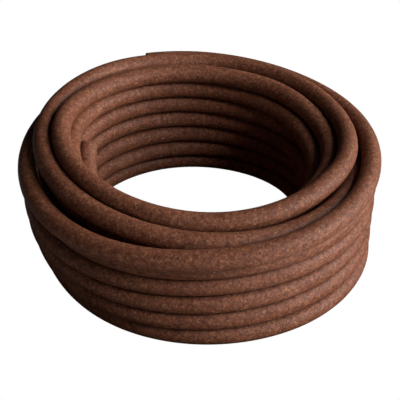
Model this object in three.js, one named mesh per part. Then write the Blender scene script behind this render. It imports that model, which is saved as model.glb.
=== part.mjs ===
// Soaker hose: one length of porous rubber tube wound into a free-standing
// coil of about twenty turns. Three nested windings carry the lower turns,
// loose stretches lie over and inside them, and both ends of the tube are
// bare, square cut and open.
//
// Units are millimetres, +Z is up and the coil stands on Z = 0.
// Angles along the hose run clockwise seen from above, from the outer cut end:
// 0 = back (+Y), 90 = right (+X), 180 = front (-Y), 270 = left (-X), and on
// past 360 for each further turn.

import * as THREE from 'three';

// ---- driving dimensions --------------------------------------------------
const HOSE_OD = 16;            // outer diameter of the hose
const HOSE_BORE = 9.6;         // bore, wall 3.2 mm
const HOSE_SOLID = 15.2;       // diameter of the loose stretches' solids, which keeps them apart
const R_MIDDLE = 121.2;        // centre line radius of the middle winding
const NEST = 16.4;             // radial step from one winding to the next
const R_INNER = R_MIDDLE - NEST;
const R_OUTER = R_MIDDLE + NEST;
const RING_TURNS = 5;          // turns stacked in each full winding
const RING_PITCH = 15.2;       // height from one stacked turn to the next
const SEGMENTS = 36;           // facets round each winding
const STEP_DEG = 10;           // station spacing along the loose stretches
const NECK = 3.2;              // half width of the land between two turns
const FOOT = 4.5;              // half width of the flat that the bottom turn rests on
const CLEAR = 0.4;             // gap kept between neighbouring lengths of the hose

const CUT_OUTER = -22.4;       // angle of the outer cut end
const CUT_INNER = 7117.4;      // angle of the inner cut end

const RUBBER = 0x6b4535;       // reddish brown granulated rubber
const RUBBER_DARK = 0x5c3a2d;

const R = HOSE_OD / 2;
const RING_TOP = R + (RING_TURNS - 1) * RING_PITCH + R;

// ---- route of the hose ---------------------------------------------------
// Centre line of the whole hose, end to end: [radius, height] at every
// ROUTE_STEP degrees from ROUTE_START.
const ROUTE_START = -40;
const ROUTE_STEP = 20;
const ROUTE = [
  [136, 103], [134.8, 102.2], [133.9, 101], [133.9, 99.3], [134.2, 98.1], [135.4, 97.6], [136.6, 97.8], [138.4, 97.5], [141.4, 96.2],
  [144.9, 94.5], [147.1, 92], [147.9, 88.9], [148, 85.7], [146.3, 84.2], [142.5, 83.7], [139, 85.3], [137.1, 87.3], [137, 87.7],
  [136.3, 87], [135.2, 86], [135.4, 84.9], [136.4, 83.4], [137.2, 82], [137.8, 80.2], [138.4, 77.6], [137.8, 74.8], [136, 73],
  [134.4, 72.9], [134.4, 72.9], [136, 72.4], [138.1, 71.7], [137, 71.1], [133, 70.7], [132, 71], [134.9, 71.5], [137.7, 71.6],
  [138.7, 71], [138.6, 70.1], [138, 68.5], [137.4, 66], [137.2, 62.8], [137.5, 59.4], [138.3, 56.9], [138.4, 56.2], [136.1, 56.5],
  [133.9, 56.8], [133.5, 56.8], [135, 56.2], [137.6, 55.5], [139, 55.1], [138.2, 55.4], [136.8, 55.7], [136.7, 55.7], [137.4, 55.5],
  [138, 54.9], [138.2, 53.9], [138.2, 52.3], [138.1, 49.8], [138.2, 46.6], [138.5, 43.2], [139, 40.7], [138.7, 40.1], [136.6, 40.4],
  [134.8, 40.7], [134.9, 40.7], [136.3, 40.1], [137.3, 39.4], [137.2, 39], [135.9, 39.4], [135, 39.7], [135.6, 39.8], [136.4, 39.5],
  [136.7, 38.7], [137, 37.8], [137.3, 36.1], [137.7, 33.6], [138.4, 30.4], [139.2, 27], [139.6, 24.5], [139.5, 24], [137.6, 24.2],
  [135.9, 24.6], [135.4, 24.5], [136, 24], [136, 23.4], [134.1, 23.2], [131.7, 23.7], [131.6, 24], [134.3, 23.9], [138.9, 23.6],
  [141.8, 23.4], [143.1, 22.7], [143.7, 21.3], [143.8, 18.6], [143, 14.9], [141.2, 11], [140.1, 8.3], [140.6, 7.9], [139.6, 8],
  [138, 8.2], [136.2, 8.2], [134.5, 8], [132.4, 7.9], [129, 7.9], [126, 8.3], [127.3, 8.5], [131.8, 8], [135.3, 8],
  [136.6, 8], [136.2, 8], [134.4, 8], [131.7, 8], [128.4, 8], [125.3, 8], [123.2, 8], [121.9, 8], [121.2, 8],
  [120.6, 8], [119.6, 8], [117.9, 8], [115.4, 8], [112.4, 8], [109.9, 8.3], [111.3, 10.5], [116.6, 13.6], [121, 15.4],
  [122.5, 15.9], [122.4, 16.6], [121.8, 18.2], [121.6, 20.7], [122.3, 22.9], [123.3, 24], [123.2, 24.2], [122.3, 24.2], [121, 24.2],
  [119.8, 24.2], [118.8, 24.1], [117.8, 24.2], [116.8, 24.4], [115.8, 24.9], [115.1, 26], [115.9, 27.7], [119, 30], [121.1, 31.6],
  [121.7, 32.4], [121.5, 33.3], [121, 34.8], [120.4, 36.9], [120, 38.9], [119.8, 39.8], [119.5, 40], [119.1, 40.1], [118.6, 40.2],
  [118.3, 40.3], [118.8, 40.3], [120.1, 40.2], [121, 40.1], [120.7, 40.5], [119.7, 41.6], [119.3, 43.5], [120.7, 46], [122.5, 47.7],
  [123, 48.8], [122.5, 50], [122.1, 51.6], [121.9, 53.4], [121.9, 55], [121.7, 55.9], [121.1, 56.1], [120.2, 56.2], [119, 56.4],
  [117.7, 56.5], [117.3, 56.4], [118.2, 56.3], [119.4, 56.3], [120.2, 56.7], [120.5, 57.8], [120.7, 59.5], [121.9, 62.1], [123.3, 63.9],
  [123.5, 64.9], [122.8, 66.4], [121.8, 68.2], [120.8, 69.9], [119.9, 71.1], [119.2, 71.8], [118.7, 72.1], [118.3, 72.3], [118, 72.5],
  [117.8, 72.6], [118.3, 72.5], [119.5, 73], [119.9, 74.9], [119.8, 77.8], [119.8, 80.7], [120.5, 82.3], [122.1, 81.4], [122.8, 80.4],
  [121.4, 81], [119.5, 82.3], [118.9, 84.5], [119.5, 86.4], [120.8, 87.5], [122.4, 87.7], [124.3, 87.3], [126.1, 86.9], [127.9, 87.3],
  [129.8, 88.4], [130.4, 89.2], [129.1, 90.1], [127.2, 92.1], [125.7, 94.3], [125.5, 96.3], [126.2, 99.7], [126, 103.9], [124.1, 107.2],
  [121.8, 108.7], [119.8, 107.5], [118.9, 106.3], [119.4, 106.3], [119.5, 105.5], [118.9, 104.4], [119.4, 102.7], [119, 102], [117, 101.4],
  [114.6, 97.6], [112.3, 94.5], [110.7, 94], [110.3, 96.2], [110.3, 99.3], [110.7, 102.8], [111.8, 106.9], [110.3, 108.2], [106.5, 107.2],
  [103.1, 106.3], [100.5, 105.7], [98.8, 104.9], [99.1, 103.6], [101.4, 102.2], [103.9, 98.3], [106, 93.7], [106.7, 91.1], [105.7, 89.3],
  [104.7, 84.9], [104, 79.9], [103.6, 75.8], [103, 75.4], [102.7, 78.5], [103.2, 82.6], [104.8, 86.1], [107.5, 88.2], [109.1, 88.9],
  [107.3, 88.9], [104.5, 88.5], [102.1, 88.1], [100.2, 87.5], [97.5, 86.9], [94.4, 85.2], [94.6, 82.2], [96.4, 78.2], [98.4, 73.1],
  [100.1, 67.4], [101.3, 62.4], [102.3, 59.3], [103.4, 59.3], [105.1, 62.5], [107.1, 66.9], [108.7, 70.4], [109, 72], [108.9, 72.5],
  [107.8, 72.6], [105.9, 72.4], [103.2, 72], [101, 71.5], [100.4, 71.3], [102, 71], [102.7, 68.2], [102.8, 63.3], [102.4, 57.4],
  [102.4, 51.4], [103.1, 46.3], [104.2, 43.2], [105.2, 43.2], [105.7, 46.4], [105.6, 50.7], [105.4, 54.3], [107, 55.9], [109, 56.4],
  [108.4, 56.5], [106.3, 56.3], [104.4, 55.9], [103, 55.6], [101.7, 55.4], [99.4, 55.1], [97.9, 52.8], [96.8, 48.3], [96, 42.6],
  [95.5, 36.7], [95.8, 31.9], [96.5, 29], [97.5, 29], [99.2, 31.5], [101.3, 35.2], [103.5, 38.3], [105.9, 39.8], [107.2, 40.1],
  [106.4, 40.2], [105.4, 40.1], [104.6, 39.8], [104, 39.6], [103.8, 39.6], [103.6, 39.5], [103.5, 37.6], [103.7, 33.6], [103.9, 28.4],
  [103.7, 22.8], [103.3, 17.5], [101.9, 13.7], [99.8, 13], [98, 15.4], [98.1, 19.3], [100.4, 22.4], [104.1, 23.8], [105.6, 24],
  [104.5, 23.8], [104.2, 23.7], [104.6, 23.7], [105.2, 23.6], [106.2, 23.8], [107.2, 23.8], [106.9, 21.7], [104.6, 17.5], [100.4, 12.6],
  [95.2, 9], [90.2, 8], [86.3, 8], [83.9, 8], [83.6, 8], [86.6, 8], [93.2, 8], [101.4, 8], [106.7, 8],
  [107.8, 8], [108.1, 8], [108.2, 8], [108.5, 8], [108.4, 7.9], [104.8, 8], [98.3, 8], [91.1, 8.5], [84.4, 10.3],
  [79.7, 13.6], [77.8, 18.3], [78.8, 24.5], [81.6, 32.9], [85.6, 43.2], [89.8, 54.6], [92.1, 66.7], [94.8, 79.7],
];

function routeAt(deg) {
  // Catmull-Rom interpolation of radius and height
  const u = (deg - ROUTE_START) / ROUTE_STEP;
  const i = Math.min(ROUTE.length - 2, Math.max(0, Math.floor(u)));
  const t = u - i;
  const row = (k) => ROUTE[Math.min(ROUTE.length - 1, Math.max(0, k))];
  const [a, b, c, d] = [row(i - 1), row(i), row(i + 1), row(i + 2)];
  return [0, 1].map((k) => 0.5 * (2 * b[k] + (c[k] - a[k]) * t
    + (2 * a[k] - 5 * b[k] + 4 * c[k] - d[k]) * t * t
    + (3 * b[k] - 3 * c[k] + d[k] - a[k]) * t ** 3));
}

function material(color) {
  return new THREE.MeshStandardMaterial({ color, roughness: 0.95, metalness: 0 });
}

// ---- windings ------------------------------------------------------------
// Closed profile of a stack of touching turns, scalloped on both sides.
function windingProfile(radius, outerAngles, innerAngles) {
  const pts = [];
  const rad = Math.PI / 180;
  pts.push(new THREE.Vector2(radius + FOOT, 0));
  for (let i = 0; i < RING_TURNS; i++) {
    const zc = R + i * RING_PITCH;
    for (const a of outerAngles) {
      if (i === 0 && a < -40) continue;
      pts.push(new THREE.Vector2(radius + R * Math.cos(a * rad), zc + R * Math.sin(a * rad)));
    }
    if (i < RING_TURNS - 1) pts.push(new THREE.Vector2(radius + NECK, zc + RING_PITCH / 2));
  }
  pts.push(new THREE.Vector2(radius, RING_TOP));
  for (let i = RING_TURNS - 1; i >= 0; i--) {
    const zc = R + i * RING_PITCH;
    for (const a of [...innerAngles].reverse()) {
      if (i === 0 && a < -40) continue;
      pts.push(new THREE.Vector2(radius - R * Math.cos(a * rad), zc + R * Math.sin(a * rad)));
    }
    if (i > 0) pts.push(new THREE.Vector2(radius - NECK, zc - RING_PITCH / 2));
  }
  pts.push(new THREE.Vector2(radius - FOOT, 0));
  pts.push(pts[0].clone());
  return pts;
}

const SEEN = [-50, 0, 50];     // arc points on a side that shows
const HIDDEN = [0];            // arc points on a side against its neighbour

function winding(name, radius, outerAngles, innerAngles, color) {
  const geo = new THREE.LatheGeometry(windingProfile(radius, outerAngles, innerAngles), SEGMENTS);
  geo.rotateX(Math.PI / 2);
  const mesh = new THREE.Mesh(geo, material(color));
  mesh.name = name;
  return mesh;
}

// ---- loose stretches -----------------------------------------------------
// A length of the hose between two angles of the route. Over the windings it
// is held up clear of their top, and inside them clear of their inner wall.
function stretch(name, from, to, { sides = 10, hollow = false, over = false, inside = false, color = RUBBER } = {}) {
  const rs = HOSE_SOLID / 2;
  const n = Math.max(4, Math.round((to - from) / STEP_DEG));
  const pts = [];
  for (let i = 0; i <= n; i++) {
    const deg = from + (to - from) * i / n;
    let [r, z] = routeAt(deg);
    if (over) z = Math.max(z, RING_TOP + CLEAR + rs);
    if (inside) r = Math.min(r, R_INNER - R - CLEAR - rs);
    const phi = deg * Math.PI / 180;
    pts.push(new THREE.Vector3(r * Math.sin(phi), r * Math.cos(phi), Math.max(z, R)));
  }
  const path = new THREE.CatmullRomCurve3(pts, false, 'centripetal');
  const shape = new THREE.Shape();
  const hole = new THREE.Path();
  for (let i = 0; i < sides; i++) {
    const a = 2 * Math.PI * (i + 0.5) / sides;
    const x = Math.cos(a), y = Math.sin(a);
    if (i === 0) { shape.moveTo(rs * x, rs * y); hole.moveTo(HOSE_BORE / 2 * x, HOSE_BORE / 2 * y); }
    else { shape.lineTo(rs * x, rs * y); hole.lineTo(HOSE_BORE / 2 * x, HOSE_BORE / 2 * y); }
  }
  shape.closePath();
  if (hollow) { hole.closePath(); shape.holes.push(hole); }
  const geo = new THREE.ExtrudeGeometry(shape, { steps: n, extrudePath: path, bevelEnabled: false, curveSegments: 1 });
  const mesh = new THREE.Mesh(geo, material(color));
  mesh.name = name;
  return mesh;
}

// ---- assembly ------------------------------------------------------------
const hose = new THREE.Group();
hose.name = 'soaker_hose';
// from the outer cut end, over the front and round to the left
hose.add(stretch('loose_outer_turn', CUT_OUTER, 318, { hollow: true, over: true }));
// on under the cut end, along the back
hose.add(stretch('outer_back_turn', 320.5, 373, { over: true }));
// down the outside, up the middle and down the inside
hose.add(winding('outer_winding', R_OUTER, SEEN, HIDDEN, RUBBER));
hose.add(winding('middle_winding', R_MIDDLE, HIDDEN, HIDDEN, RUBBER_DARK));
hose.add(winding('inner_winding', R_INNER, HIDDEN, SEEN, RUBBER_DARK));
// out of the middle winding and over the top, twice round
hose.add(stretch('upper_outer_turn', 3922, 4298, { over: true }));
hose.add(stretch('upper_inner_turns', 4300.5, 4822, { over: true }));
// on top of the inner winding, at the back
hose.add(stretch('inner_back_turn', 5008, 5106, { over: true, color: RUBBER_DARK }));
// inside the coil: one bend on the floor, then the end climbing the left wall
hose.add(stretch('inner_floor_bend', 6650, 6716, { inside: true, color: RUBBER_DARK }));
hose.add(stretch('inner_tail', 6952, CUT_INNER, { hollow: true, inside: true }));

// The origin is the middle of the whole coil's footprint: the loose outer
// turn bulges to the front, so the windings sit a little behind it.
const box = new THREE.Box3().setFromObject(hose);
const dx = -(box.min.x + box.max.x) / 2, dy = -(box.min.y + box.max.y) / 2;
for (const mesh of hose.children) mesh.geometry.translate(dx, dy, 0);

export default hose;
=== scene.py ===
# Looks of the coiled soaker hose: one continuous porous rubber tube, with its
# bore open at both square-cut ends, laid along the same route as the CAD model.
import math

import bpy
import numpy as np
from mathutils.kdtree import KDTree
from mathutils import Matrix, Vector


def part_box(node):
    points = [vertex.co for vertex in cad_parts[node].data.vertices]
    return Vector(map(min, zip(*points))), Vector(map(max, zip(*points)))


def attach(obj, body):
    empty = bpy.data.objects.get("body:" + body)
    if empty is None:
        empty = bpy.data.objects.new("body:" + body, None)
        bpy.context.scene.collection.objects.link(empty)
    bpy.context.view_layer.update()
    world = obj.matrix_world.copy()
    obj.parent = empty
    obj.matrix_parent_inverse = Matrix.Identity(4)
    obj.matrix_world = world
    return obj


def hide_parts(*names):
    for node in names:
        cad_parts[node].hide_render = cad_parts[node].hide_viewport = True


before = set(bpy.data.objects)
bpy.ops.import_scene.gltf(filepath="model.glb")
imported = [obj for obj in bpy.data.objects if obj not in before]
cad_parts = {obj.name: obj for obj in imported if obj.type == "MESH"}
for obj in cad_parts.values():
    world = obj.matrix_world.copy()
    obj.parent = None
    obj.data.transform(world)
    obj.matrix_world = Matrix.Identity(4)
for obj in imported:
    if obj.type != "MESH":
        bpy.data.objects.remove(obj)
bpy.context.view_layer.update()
scene = bpy.context.scene
rng = np.random.default_rng(20)

# ---------------------------------------------------------------- sizes (m)
HOSE_OD = 0.016
HOSE_BORE = 0.0096
R_OUT = HOSE_OD / 2
R_BORE = HOSE_BORE / 2
RINGS = 2640                    # rings of the outer surface, end to end
SIDES = 28                      # vertices round each outer ring
BORE_EVERY = 2                  # one bore ring for this many outer rings
BORE_SIDES = 14

lo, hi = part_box("middle_winding")
AXIS_X, AXIS_Y = (lo.x + hi.x) / 2, (lo.y + hi.y) / 2      # the coil's axis

# ---------------------------------------------------------------- route
# [radius, height] of the centre line in mm at every 20 degrees from -40,
# clockwise seen from above, 0 at the back; the hose runs from CUT_OUTER to
# CUT_INNER along it.
ROUTE_START, ROUTE_STEP = -40.0, 20.0
CUT_OUTER, CUT_INNER = -22.4, 7117.4
ROUTE = np.array([
    (136, 103), (134.8, 102.2), (133.9, 101), (133.9, 99.3), (134.2, 98.1), (135.4, 97.6), (136.6, 97.8), (138.4, 97.5), (141.4, 96.2),
    (144.9, 94.5), (147.1, 92), (147.9, 88.9), (148, 85.7), (146.3, 84.2), (142.5, 83.7), (139, 85.3), (137.1, 87.3), (137, 87.7),
    (136.3, 87), (135.2, 86), (135.4, 84.9), (136.4, 83.4), (137.2, 82), (137.8, 80.2), (138.4, 77.6), (137.8, 74.8), (136, 73),
    (134.4, 72.9), (134.4, 72.9), (136, 72.4), (138.1, 71.7), (137, 71.1), (133, 70.7), (132, 71), (134.9, 71.5), (137.7, 71.6),
    (138.7, 71), (138.6, 70.1), (138, 68.5), (137.4, 66), (137.2, 62.8), (137.5, 59.4), (138.3, 56.9), (138.4, 56.2), (136.1, 56.5),
    (133.9, 56.8), (133.5, 56.8), (135, 56.2), (137.6, 55.5), (139, 55.1), (138.2, 55.4), (136.8, 55.7), (136.7, 55.7), (137.4, 55.5),
    (138, 54.9), (138.2, 53.9), (138.2, 52.3), (138.1, 49.8), (138.2, 46.6), (138.5, 43.2), (139, 40.7), (138.7, 40.1), (136.6, 40.4),
    (134.8, 40.7), (134.9, 40.7), (136.3, 40.1), (137.3, 39.4), (137.2, 39), (135.9, 39.4), (135, 39.7), (135.6, 39.8), (136.4, 39.5),
    (136.7, 38.7), (137, 37.8), (137.3, 36.1), (137.7, 33.6), (138.4, 30.4), (139.2, 27), (139.6, 24.5), (139.5, 24), (137.6, 24.2),
    (135.9, 24.6), (135.4, 24.5), (136, 24), (136, 23.4), (134.1, 23.2), (131.7, 23.7), (131.6, 24), (134.3, 23.9), (138.9, 23.6),
    (141.8, 23.4), (143.1, 22.7), (143.7, 21.3), (143.8, 18.6), (143, 14.9), (141.2, 11), (140.1, 8.3), (140.6, 7.9), (139.6, 8),
    (138, 8.2), (136.2, 8.2), (134.5, 8), (132.4, 7.9), (129, 7.9), (126, 8.3), (127.3, 8.5), (131.8, 8), (135.3, 8),
    (136.6, 8), (136.2, 8), (134.4, 8), (131.7, 8), (128.4, 8), (125.3, 8), (123.2, 8), (121.9, 8), (121.2, 8),
    (120.6, 8), (119.6, 8), (117.9, 8), (115.4, 8), (112.4, 8), (109.9, 8.3), (111.3, 10.5), (116.6, 13.6), (121, 15.4),
    (122.5, 15.9), (122.4, 16.6), (121.8, 18.2), (121.6, 20.7), (122.3, 22.9), (123.3, 24), (123.2, 24.2), (122.3, 24.2), (121, 24.2),
    (119.8, 24.2), (118.8, 24.1), (117.8, 24.2), (116.8, 24.4), (115.8, 24.9), (115.1, 26), (115.9, 27.7), (119, 30), (121.1, 31.6),
    (121.7, 32.4), (121.5, 33.3), (121, 34.8), (120.4, 36.9), (120, 38.9), (119.8, 39.8), (119.5, 40), (119.1, 40.1), (118.6, 40.2),
    (118.3, 40.3), (118.8, 40.3), (120.1, 40.2), (121, 40.1), (120.7, 40.5), (119.7, 41.6), (119.3, 43.5), (120.7, 46), (122.5, 47.7),
    (123, 48.8), (122.5, 50), (122.1, 51.6), (121.9, 53.4), (121.9, 55), (121.7, 55.9), (121.1, 56.1), (120.2, 56.2), (119, 56.4),
    (117.7, 56.5), (117.3, 56.4), (118.2, 56.3), (119.4, 56.3), (120.2, 56.7), (120.5, 57.8), (120.7, 59.5), (121.9, 62.1), (123.3, 63.9),
    (123.5, 64.9), (122.8, 66.4), (121.8, 68.2), (120.8, 69.9), (119.9, 71.1), (119.2, 71.8), (118.7, 72.1), (118.3, 72.3), (118, 72.5),
    (117.8, 72.6), (118.3, 72.5), (119.5, 73), (119.9, 74.9), (119.8, 77.8), (119.8, 80.7), (120.5, 82.3), (122.1, 81.4), (122.8, 80.4),
    (121.4, 81), (119.5, 82.3), (118.9, 84.5), (119.5, 86.4), (120.8, 87.5), (122.4, 87.7), (124.3, 87.3), (126.1, 86.9), (127.9, 87.3),
    (129.8, 88.4), (130.4, 89.2), (129.1, 90.1), (127.2, 92.1), (125.7, 94.3), (125.5, 96.3), (126.2, 99.7), (126, 103.9), (124.1, 107.2),
    (121.8, 108.7), (119.8, 107.5), (118.9, 106.3), (119.4, 106.3), (119.5, 105.5), (118.9, 104.4), (119.4, 102.7), (119, 102), (117, 101.4),
    (114.6, 97.6), (112.3, 94.5), (110.7, 94), (110.3, 96.2), (110.3, 99.3), (110.7, 102.8), (111.8, 106.9), (110.3, 108.2), (106.5, 107.2),
    (103.1, 106.3), (100.5, 105.7), (98.8, 104.9), (99.1, 103.6), (101.4, 102.2), (103.9, 98.3), (106, 93.7), (106.7, 91.1), (105.7, 89.3),
    (104.7, 84.9), (104, 79.9), (103.6, 75.8), (103, 75.4), (102.7, 78.5), (103.2, 82.6), (104.8, 86.1), (107.5, 88.2), (109.1, 88.9),
    (107.3, 88.9), (104.5, 88.5), (102.1, 88.1), (100.2, 87.5), (97.5, 86.9), (94.4, 85.2), (94.6, 82.2), (96.4, 78.2), (98.4, 73.1),
    (100.1, 67.4), (101.3, 62.4), (102.3, 59.3), (103.4, 59.3), (105.1, 62.5), (107.1, 66.9), (108.7, 70.4), (109, 72), (108.9, 72.5),
    (107.8, 72.6), (105.9, 72.4), (103.2, 72), (101, 71.5), (100.4, 71.3), (102, 71), (102.7, 68.2), (102.8, 63.3), (102.4, 57.4),
    (102.4, 51.4), (103.1, 46.3), (104.2, 43.2), (105.2, 43.2), (105.7, 46.4), (105.6, 50.7), (105.4, 54.3), (107, 55.9), (109, 56.4),
    (108.4, 56.5), (106.3, 56.3), (104.4, 55.9), (103, 55.6), (101.7, 55.4), (99.4, 55.1), (97.9, 52.8), (96.8, 48.3), (96, 42.6),
    (95.5, 36.7), (95.8, 31.9), (96.5, 29), (97.5, 29), (99.2, 31.5), (101.3, 35.2), (103.5, 38.3), (105.9, 39.8), (107.2, 40.1),
    (106.4, 40.2), (105.4, 40.1), (104.6, 39.8), (104, 39.6), (103.8, 39.6), (103.6, 39.5), (103.5, 37.6), (103.7, 33.6), (103.9, 28.4),
    (103.7, 22.8), (103.3, 17.5), (101.9, 13.7), (99.8, 13), (98, 15.4), (98.1, 19.3), (100.4, 22.4), (104.1, 23.8), (105.6, 24),
    (104.5, 23.8), (104.2, 23.7), (104.6, 23.7), (105.2, 23.6), (106.2, 23.8), (107.2, 23.8), (106.9, 21.7), (104.6, 17.5), (100.4, 12.6),
    (95.2, 9), (90.2, 8), (86.3, 8), (83.9, 8), (83.6, 8), (86.6, 8), (93.2, 8), (101.4, 8), (106.7, 8),
    (107.8, 8), (108.1, 8), (108.2, 8), (108.5, 8), (108.4, 7.9), (104.8, 8), (98.3, 8), (91.1, 8.5), (84.4, 10.3),
    (79.7, 13.6), (77.8, 18.3), (78.8, 24.5), (81.6, 32.9), (85.6, 43.2), (89.8, 54.6), (92.1, 66.7), (94.8, 79.7),
]) / 1000.0


def natural_spline(y, h):
    """Second derivatives of the natural cubic spline through evenly spaced rows."""
    n = len(y)
    a = np.zeros((n, n))
    b = np.zeros_like(y)
    a[0, 0] = a[-1, -1] = 1.0
    for i in range(1, n - 1):
        a[i, i - 1], a[i, i], a[i, i + 1] = 1.0, 4.0, 1.0
        b[i] = 6 * (y[i - 1] - 2 * y[i] + y[i + 1]) / h ** 2
    return np.linalg.solve(a, b)


CURVATURE = natural_spline(ROUTE, ROUTE_STEP)


def route_at(deg):
    """Centre line points (n, 3) in the row frame at the given angles."""
    deg = np.asarray(deg, float)
    u = (deg - ROUTE_START) / ROUTE_STEP
    i = np.clip(np.floor(u).astype(int), 0, len(ROUTE) - 2)
    t = (u - i)[:, None]
    h2 = ROUTE_STEP ** 2 / 6
    q = ((1 - t) * ROUTE[i] + t * ROUTE[i + 1]
         + h2 * (((1 - t) ** 3 - (1 - t)) * CURVATURE[i] + (t ** 3 - t) * CURVATURE[i + 1]))
    phi = np.radians(deg)
    r, z = q[:, 0], np.maximum(q[:, 1], R_OUT)
    return np.stack([AXIS_X + r * np.sin(phi), AXIS_Y + r * np.cos(phi), z], axis=1)


def even_route(count):
    """count points at equal distances along the hose, with tangents."""
    deg = np.linspace(CUT_OUTER, CUT_INNER, 14000)
    p = route_at(deg)
    s = np.concatenate([[0], np.cumsum(np.linalg.norm(np.diff(p, axis=0), axis=1))])
    at = np.interp(np.linspace(0, s[-1], count), s, deg)
    p = route_at(at)
    t = route_at(at + 0.05) - route_at(at - 0.05)
    t /= np.linalg.norm(t, axis=1)[:, None]
    return p, t, s[-1], at


# ---------------------------------------------------------------- hose mesh
def smooth_noise(n, period, seed):
    """A smooth random line of n values, about -1 to 1, that changes over period rings."""
    r = np.random.default_rng(seed)
    knots = r.uniform(-1, 1, int(n / period) + 4)
    x = np.arange(n) / period
    i = x.astype(int)
    f = x - i
    f = f * f * (3 - 2 * f)
    return knots[i] * (1 - f) + knots[i + 1] * f


centre, tangent, LENGTH, angle = even_route(RINGS)

# the ring frames: "out" is level and points away from the coil's axis
up = np.array([0.0, 0.0, 1.0])
out = np.cross(tangent, up)
out /= np.linalg.norm(out, axis=1)[:, None]
top = np.cross(out, tangent)


def tube_rings(index, sides, radius, wobble):
    """Vertices of rings at the given route indices: (len(index), sides, 3)."""
    a = 2 * math.pi * np.arange(sides) / sides
    ca, sa = np.cos(a), np.sin(a)
    n = len(centre)
    oval = 0.010 * smooth_noise(n, 46, 3)[index][:, None]
    lean = (math.pi * smooth_noise(n, 90, 4))[index][:, None]
    swell = 0.006 * smooth_noise(n, 17, 5)[index][:, None]
    lump = sum(
        0.0045 * smooth_noise(n, 5 + 2 * k, 10 + k)[index][:, None]
        * np.cos(k * a + 2.1 * k + 3 * smooth_noise(n, 23, 30 + k)[index][:, None])
        for k in range(2, 6)
    )
    r = radius * (1 + wobble * (swell + oval * np.cos(2 * (a - lean)) + lump))
    return (centre[index][:, None, :]
            + (r * ca)[..., None] * out[index][:, None, :]
            + (r * sa)[..., None] * top[index][:, None, :])


def groove_depth(points):
    """1 where a point touches another turn of the hose, falling to 0 away from it."""
    tree = KDTree(RINGS)
    for i in range(RINGS):
        tree.insert(Vector(centre[i]), i)
    tree.balance()
    apart = int(round(3 * HOSE_OD / float(np.linalg.norm(centre[1] - centre[0]))))
    depth = np.zeros(len(points))
    for v, p in enumerate(points):
        ring = v // SIDES
        near = 9.0
        for _, j, _ in tree.find_range(Vector(p), 1.75 * R_OUT):
            if abs(j - ring) > apart:
                d = p - centre[j]
                along = float(d @ tangent[j])
                near = min(near, math.sqrt(max(float(d @ d) - along * along, 0.0)) / R_OUT)
        depth[v] = min(1.0, max(0.0, (1.42 - near) / 0.36))
    return depth * depth * (3 - 2 * depth)


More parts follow.
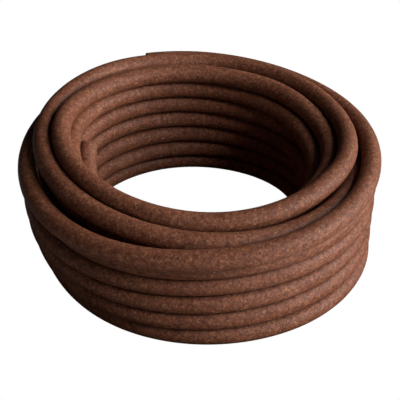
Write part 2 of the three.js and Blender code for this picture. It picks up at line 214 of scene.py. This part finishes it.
def build_hose():
    verts, faces = [], []
    outer_i = np.arange(RINGS)
    bore_i = np.unique(np.concatenate([np.arange(0, RINGS, BORE_EVERY), [RINGS - 1]]))
    outer = tube_rings(outer_i, SIDES, R_OUT, 1.0)
    bore = tube_rings(bore_i, BORE_SIDES, R_BORE, 0.6)
    verts += outer.reshape(-1, 3).tolist()
    base = len(verts)
    verts += bore.reshape(-1, 3).tolist()

    for i in range(RINGS - 1):
        a, b = i * SIDES, (i + 1) * SIDES
        for k in range(SIDES):
            m = (k + 1) % SIDES
            faces.append((a + k, a + m, b + m, b + k))
    for i in range(len(bore_i) - 1):
        a, b = base + i * BORE_SIDES, base + (i + 1) * BORE_SIDES
        for k in range(BORE_SIDES):
            m = (k + 1) % BORE_SIDES
            faces.append((a + k, b + k, b + m, a + m))

    # the two cut faces: rough rings between the outer wall and the bore
    sharp = set()
    cut_faces = []
    for first, o0, b0 in ((True, 0, base), (False, (RINGS - 1) * SIDES, base + (len(bore_i) - 1) * BORE_SIDES)):
        j = 0 if first else RINGS - 1
        c, t = centre[j], tangent[j] * (-1 if first else 1)
        rows = [[o0 + k for k in range(SIDES)]]
        for f, depth in ((0.10, 0.00025), (0.36, 0.0004), (0.68, 0.0004)):
            row = []
            for k in range(SIDES):
                p_out = np.array(verts[o0 + k])
                q = 2 * math.pi * k / SIDES
                p_in = c + R_BORE * (math.cos(q) * out[j] + math.sin(q) * top[j])
                p = p_out * (1 - f) + p_in * f + t * (depth + rng.uniform(-0.00028, 0.00022))
                row.append(len(verts))
                verts.append(p.tolist())
            rows.append(row)
        for r0, r1 in zip(rows[:-1], rows[1:]):
            for k in range(SIDES):
                m = (k + 1) % SIDES
                q = (r0[k], r1[k], r1[m], r0[m])
                faces.append(q if first else q[::-1])
                cut_faces.append(len(faces) - 1)
        last = rows[-1]
        for k in range(BORE_SIDES):
            m = (k + 1) % BORE_SIDES
            b_k, b_m = b0 + k, b0 + m
            l0, l1, l2 = last[2 * k], last[2 * k + 1], last[(2 * k + 2) % SIDES]
            for q in ((l0, b_k, l1), (l1, b_k, b_m), (l1, b_m, l2)):
                faces.append(q if first else q[::-1])
                cut_faces.append(len(faces) - 1)
        for k in range(SIDES):
            sharp.add(tuple(sorted((o0 + k, o0 + (k + 1) % SIDES))))
        for k in range(BORE_SIDES):
            sharp.add(tuple(sorted((b0 + k, b0 + (k + 1) % BORE_SIDES))))

    mesh = bpy.data.meshes.new("soaker_hose")
    mesh.from_pydata(verts, [], faces)
    mesh.validate()
    mesh.update()
    mesh.polygons.foreach_set("use_smooth", np.ones(len(mesh.polygons), bool))
    mark = np.zeros(len(mesh.edges), bool)
    ends = np.zeros(len(mesh.edges) * 2, np.int32)
    mesh.edges.foreach_get("vertices", ends)
    ends = np.sort(ends.reshape(-1, 2), axis=1)
    n_body = len(outer.reshape(-1, 3)) + len(bore.reshape(-1, 3))
    for e, (p, q) in enumerate(ends):
        if (p < 2 * SIDES or q >= (RINGS - 2) * SIDES) and (int(p), int(q)) in sharp:
            mark[e] = True
    attr = mesh.attributes.get("sharp_edge") or mesh.attributes.new("sharp_edge", "BOOLEAN", "EDGE")
    attr.data.foreach_set("value", mark)
    mesh.update()
    # how deep each point of the outside lies in the groove against another turn
    deep = np.zeros(len(mesh.vertices), np.float32)
    deep[:len(outer) * SIDES] = groove_depth(outer.reshape(-1, 3))
    crease = mesh.attributes.new("crease", "FLOAT", "POINT")
    crease.data.foreach_set("value", deep)
    obj = bpy.data.objects.new("soaker_hose", mesh)
    scene.collection.objects.link(obj)
    return obj


hose = build_hose()


# ---------------------------------------------------------------- material
def porous_rubber():
    """Matt sintered rubber crumb: brown body, tan, rust and dark grains, fine pits."""
    mat = bpy.data.materials.new("porous_rubber")
    mat.use_nodes = True
    nt = mat.node_tree
    nt.nodes.clear()
    add = nt.nodes.new
    link = nt.links.new
    output = add("ShaderNodeOutputMaterial")
    bsdf = add("ShaderNodeBsdfPrincipled")
    link(bsdf.outputs["BSDF"], output.inputs["Surface"])
    coord = add("ShaderNodeTexCoord")

    def noise(scale, detail=2.0, rough=0.5, distort=0.0):
        n = add("ShaderNodeTexNoise")
        n.inputs["Scale"].default_value = scale
        n.inputs["Detail"].default_value = detail
        n.inputs["Roughness"].default_value = rough
        n.inputs["Distortion"].default_value = distort
        link(coord.outputs["Object"], n.inputs["Vector"])
        return n

    def voronoi(scale, feature="F1", randomness=1.0):
        n = add("ShaderNodeTexVoronoi")
        n.feature = feature
        n.inputs["Scale"].default_value = scale
        n.inputs["Randomness"].default_value = randomness
        link(coord.outputs["Object"], n.inputs["Vector"])
        return n

    def ramp(source, stops, mode="LINEAR"):
        n = add("ShaderNodeValToRGB")
        n.color_ramp.interpolation = mode
        e = n.color_ramp.elements
        e[0].position, e[0].color = stops[0][0], (*stops[0][1], 1)
        e[1].position, e[1].color = stops[-1][0], (*stops[-1][1], 1)
        for pos, col in stops[1:-1]:
            x = e.new(pos)
            x.color = (*col, 1)
        link(source, n.inputs["Fac"])
        return n.outputs["Color"]

    def mix(kind, fac, a, b):
        n = add("ShaderNodeMix")
        n.data_type = "RGBA"
        n.blend_type = kind
        if isinstance(fac, float):
            n.inputs[0].default_value = fac
        else:
            link(fac, n.inputs[0])
        for sock, val in ((n.inputs[6], a), (n.inputs[7], b)):
            if isinstance(val, tuple):
                sock.default_value = (*val, 1)
            else:
                link(val, sock)
        return n.outputs[2]

    def separate(color, channel="Red"):
        n = add("ShaderNodeSeparateColor")
        link(color, n.inputs[0])
        return n.outputs[channel]

    # body: brown that drifts over a few centimetres
    drift = noise(38.0, 3.0, 0.55)
    body = ramp(drift.outputs["Fac"], [
        (0.30, (0.158, 0.0522, 0.0268)),
        (0.52, (0.178, 0.0626, 0.0336)),
        (0.72, (0.200, 0.0750, 0.0424)),
    ])
    # crumb: each grain of about a millimetre has its own shade
    grain = voronoi(820.0)
    shade = ramp(separate(grain.outputs["Color"], "Red"), [
        (0.0, (0.62, 0.60, 0.60)),
        (0.30, (0.88, 0.87, 0.87)),
        (0.70, (1.08, 1.08, 1.08)),
        (1.0, (1.38, 1.42, 1.44)),
    ])
    col = mix("MULTIPLY", 1.0, body, shade)
    # scattered tan and rust grains, and dark pits
    tan = ramp(separate(grain.outputs["Color"], "Green"), [(0.90, (0, 0, 0)), (0.93, (1, 1, 1))])
    col = mix("MIX", separate(mix("MULTIPLY", 1.0, tan, (0.45, 0.45, 0.45))), col, (0.36, 0.185, 0.092))
    rust = ramp(separate(grain.outputs["Color"], "Blue"), [(0.90, (0, 0, 0)), (0.94, (1, 1, 1))])
    col = mix("MIX", separate(mix("MULTIPLY", 1.0, rust, (0.50, 0.50, 0.50))), col, (0.22, 0.072, 0.024))
    fine = noise(1900.0, 2.0, 0.6)
    speck = ramp(fine.outputs["Fac"], [(0.30, (0.70, 0.70, 0.70)), (0.50, (1.0, 1.0, 1.0)), (0.72, (1.22, 1.22, 1.22))])
    col = mix("MULTIPLY", 0.8, col, speck)
    # clumps of crumbs, a few millimetres across, that came out lighter or darker
    clump = noise(300.0, 3.0, 0.65)
    patch = ramp(clump.outputs["Fac"], [(0.32, (0.70, 0.68, 0.67)), (0.50, (1.0, 1.0, 1.0)), (0.68, (1.30, 1.32, 1.32))])
    col = mix("MULTIPLY", 1.0, col, patch)
    # darker down in the grooves where turns lie against each other: this stands in
    # for the deep contact shade there, and is not a change in the rubber itself
    groove = add("ShaderNodeAttribute")
    groove.attribute_name = "crease"
    contact = ramp(groove.outputs["Fac"], [(0.0, (1.0, 1.0, 1.0)), (0.5, (0.74, 0.72, 0.72)), (1.0, (0.42, 0.40, 0.40))])
    col = mix("MULTIPLY", 1.0, col, contact)
    link(col, bsdf.inputs["Base Color"])

    # roughness varies a little with the grains
    rough = add("ShaderNodeMapRange")
    rough.inputs["To Min"].default_value = 0.46
    rough.inputs["To Max"].default_value = 0.64
    link(separate(grain.outputs["Color"], "Green"), rough.inputs["Value"])
    link(rough.outputs["Result"], bsdf.inputs["Roughness"])
    bsdf.inputs["Specular IOR Level"].default_value = 0.22

    # surface: rounded crumbs with gaps between them, then fine pores
    b1 = add("ShaderNodeBump")
    b1.inputs["Strength"].default_value = 0.55
    b1.inputs["Distance"].default_value = 0.00035
    b1.invert = True
    link(grain.outputs["Distance"], b1.inputs["Height"])
    b2 = add("ShaderNodeBump")
    b2.inputs["Strength"].default_value = 0.45
    b2.inputs["Distance"].default_value = 0.00022
    link(fine.outputs["Fac"], b2.inputs["Height"])
    link(b1.outputs["Normal"], b2.inputs["Normal"])
    b3 = add("ShaderNodeBump")
    b3.inputs["Strength"].default_value = 0.55
    b3.inputs["Distance"].default_value = 0.0009
    wave = noise(230.0, 2.0, 0.5)
    link(wave.outputs["Fac"], b3.inputs["Height"])
    link(b2.outputs["Normal"], b3.inputs["Normal"])
    link(b3.outputs["Normal"], bsdf.inputs["Normal"])
    return mat


rubber = porous_rubber()
hose.data.materials.append(rubber)

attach(hose, "root")
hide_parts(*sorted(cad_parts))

# ---------------------------------------------------------------- camera
ELEVATION = math.radians(35.310)
ROLL = math.radians(2.017)
DISTANCE = 47.176 * HOSE_OD
FOCAL_PX = 882.1                                # focal length in pixels of a 400 pixel wide image
TARGET = Vector((AXIS_X + 0.1097 * HOSE_OD, AXIS_Y, 2.2233 * HOSE_OD))
forward = Vector((0.0, math.cos(ELEVATION), -math.sin(ELEVATION)))
right = Vector((1.0, 0.0, 0.0))
above = right.cross(forward)
cam_x = right * math.cos(ROLL) + above * math.sin(ROLL)
cam_y = -right * math.sin(ROLL) + above * math.cos(ROLL)
camera_data = bpy.data.cameras.new("camera")
camera_data.sensor_fit = "HORIZONTAL"
camera_data.sensor_width = 36.0
camera_data.lens = 36.0 * FOCAL_PX / 400.0
camera_data.clip_start = 0.01
camera_data.clip_end = 100.0
camera = bpy.data.objects.new("camera", camera_data)
scene.collection.objects.link(camera)
camera.matrix_world = Matrix((
    (cam_x.x, cam_y.x, -forward.x, 0), (cam_x.y, cam_y.y, -forward.y, 0), (cam_x.z, cam_y.z, -forward.z, 0), (0, 0, 0, 1)))
camera.location = TARGET - forward * DISTANCE
scene.camera = camera

# ---------------------------------------------------------------- floor, light
scene.view_settings.view_transform = "Standard"
scene.view_settings.look = "None"

floor_mesh = bpy.data.meshes.new("floor")
S = 6.0
floor_mesh.from_pydata([(-S, -S, -0.0004), (S, -S, -0.0004), (S, S, -0.0004), (-S, S, -0.0004)], [], [(0, 1, 2, 3)])
floor = bpy.data.objects.new("floor", floor_mesh)
scene.collection.objects.link(floor)
white = bpy.data.materials.new("floor_white")
white.use_nodes = True
wn = white.node_tree
wn.nodes.clear()
w_out = wn.nodes.new("ShaderNodeOutputMaterial")
w_em = wn.nodes.new("ShaderNodeEmission")
w_em.inputs["Color"].default_value = (1, 1, 1, 1)
w_rays = wn.nodes.new("ShaderNodeLightPath")
wn.links.new(w_rays.outputs["Is Camera Ray"], w_em.inputs["Strength"])
wn.links.new(w_em.outputs[0], w_out.inputs["Surface"])
floor_mesh.materials.append(white)


def lamp(name, azimuth, elevation, distance, size, power, color=(1, 1, 1)):
    """A soft square light; azimuth clockwise from the back, seen from above."""
    data = bpy.data.lights.new(name, "AREA")
    data.shape = "SQUARE"
    data.size = size
    data.energy = power
    data.color = color
    o = bpy.data.objects.new(name, data)
    scene.collection.objects.link(o)
    a, e = math.radians(azimuth), math.radians(elevation)
    d = Vector((math.sin(a) * math.cos(e), math.cos(a) * math.cos(e), math.sin(e)))
    aim = Vector((AXIS_X, AXIS_Y, 0.05))
    o.location = aim + d * distance
    o.rotation_euler = (-d).to_track_quat("-Z", "Y").to_euler()
    return o


lamp("key low", 90, 12, 4.0, 0.7, 84)
lamp("key high", 95, 27, 4.0, 1.3, 42)
lamp("front right high", 112, 30, 4.0, 1.4, 48)
lamp("front right low", 110, 10, 4.0, 0.9, 14)
lamp("far front right", 130, 42, 4.0, 1.0, 36)
lamp("back right high", 80, 47, 4.0, 1.2, 26)
lamp("back", 55, 30, 4.0, 1.6, 31)
lamp("front", 165, 13, 4.0, 1.4, 14)


def bounce(name, azimuth, distance, size, power):
    """Light thrown back up by the lit floor beside the object."""
    o = lamp(name, azimuth, 0, distance, size, power)
    o.location.z = 0.003
    o.rotation_euler = (math.pi, 0, 0)
    o.visible_camera = False
    return o


bounce("floor front right", 140, 0.42, 0.34, 0.60)
bounce("floor front", 180, 0.42, 0.34, 0.22)
bounce("floor right", 100, 0.42, 0.34, 0.20)
bounce("floor front left", 230, 0.42, 0.34, 0.11)
bounce("floor left", 290, 0.42, 0.34, 0.10)

world = bpy.data.worlds.new("studio")
scene.world = world
world.use_nodes = True
bg = world.node_tree.nodes.get("Background") or world.node_tree.nodes.new("ShaderNodeBackground")
wt = world.node_tree
wt.nodes.clear()
w_output = wt.nodes.new("ShaderNodeOutputWorld")
seen = wt.nodes.new("ShaderNodeBackground")
seen.inputs["Color"].default_value = (1, 1, 1, 1)
seen.inputs["Strength"].default_value = 1.0
fill = wt.nodes.new("ShaderNodeBackground")
fill.inputs["Color"].default_value = (1, 1, 1, 1)
fill.inputs["Strength"].default_value = 0.0164
rays = wt.nodes.new("ShaderNodeLightPath")
pick = wt.nodes.new("ShaderNodeMixShader")
wt.links.new(rays.outputs["Is Camera Ray"], pick.inputs[0])
wt.links.new(fill.outputs[0], pick.inputs[1])
wt.links.new(seen.outputs[0], pick.inputs[2])
wt.links.new(pick.outputs[0], w_output.inputs["Surface"])
